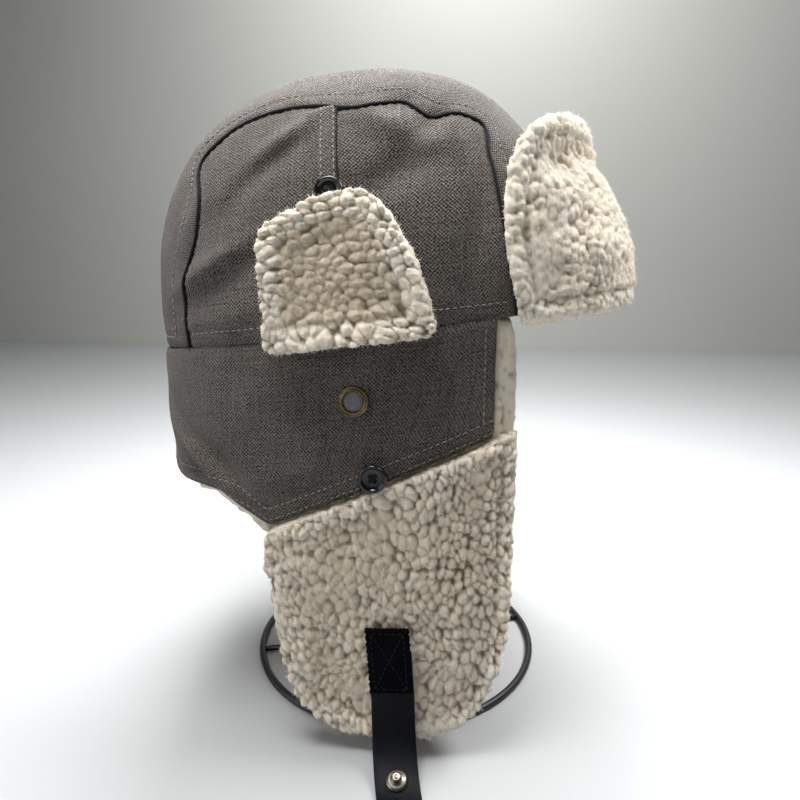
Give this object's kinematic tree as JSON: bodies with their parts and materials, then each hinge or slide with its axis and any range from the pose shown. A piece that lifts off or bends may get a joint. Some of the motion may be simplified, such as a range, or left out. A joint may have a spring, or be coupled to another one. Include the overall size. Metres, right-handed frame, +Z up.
{
  "type": "aviator hat on wire stand",
  "caption": "Grey canvas aviator hat with cream fleece visor, ear flaps and buttoned ear covers, black piping and chin straps, on a plain black wire stand.",
  "frame": {"origin": "middle of the underside of the stand's hub, on the floor, under the stand's post", "axes": "+Z up along the post; -Y is the front of the hat, where the visor is; -X is the wearer's right, the side that the picture shows"},
  "size_m": [0.2798, 0.25, 0.3244],
  "materials": {
    "canvas": "matte duck weave",
    "fleece": "curly berber fleece",
    "piping": "matte folded cloth",
    "button": "gloss",
    "brass": "antique",
    "steel": "antique satin",
    "leather": "fine grain, semi-gloss",
    "webbing": "matte felted",
    "stand_paint": "satin black"
  },
  "bodies": {
    "root": {"crown_centre_strip": "canvas", "crown_side_right_front": "canvas", "crown_side_right_back": "canvas", "crown_side_left_front": "canvas", "crown_side_left_back": "canvas", "piping_right": "piping", "piping_left": "piping", "side_band": "canvas", "flap_lining": "fleece", "ear_flap_right": "fleece", "ear_flap_left": "fleece", "ear_cover_right": "fleece", "ear_cover_left": "fleece", "ear_cover_back_right": "canvas", "ear_cover_back_left": "canvas", "visor": "fleece", "visor_back": "canvas", "button_upper_right": "button", "button_upper_left": "button", "button_lower_right": "button", "button_lower_left": "button", "snap_ring_right": "brass", "snap_ring_left": "brass", "chin_strap_right": "leather", "chin_strap_left": "leather", "strap_tab_right": "webbing", "strap_tab_left": "webbing", "snap_stud_right": "steel", "snap_socket_left": "steel", "stand": "stand_paint"}
  },
  "joints": []
}
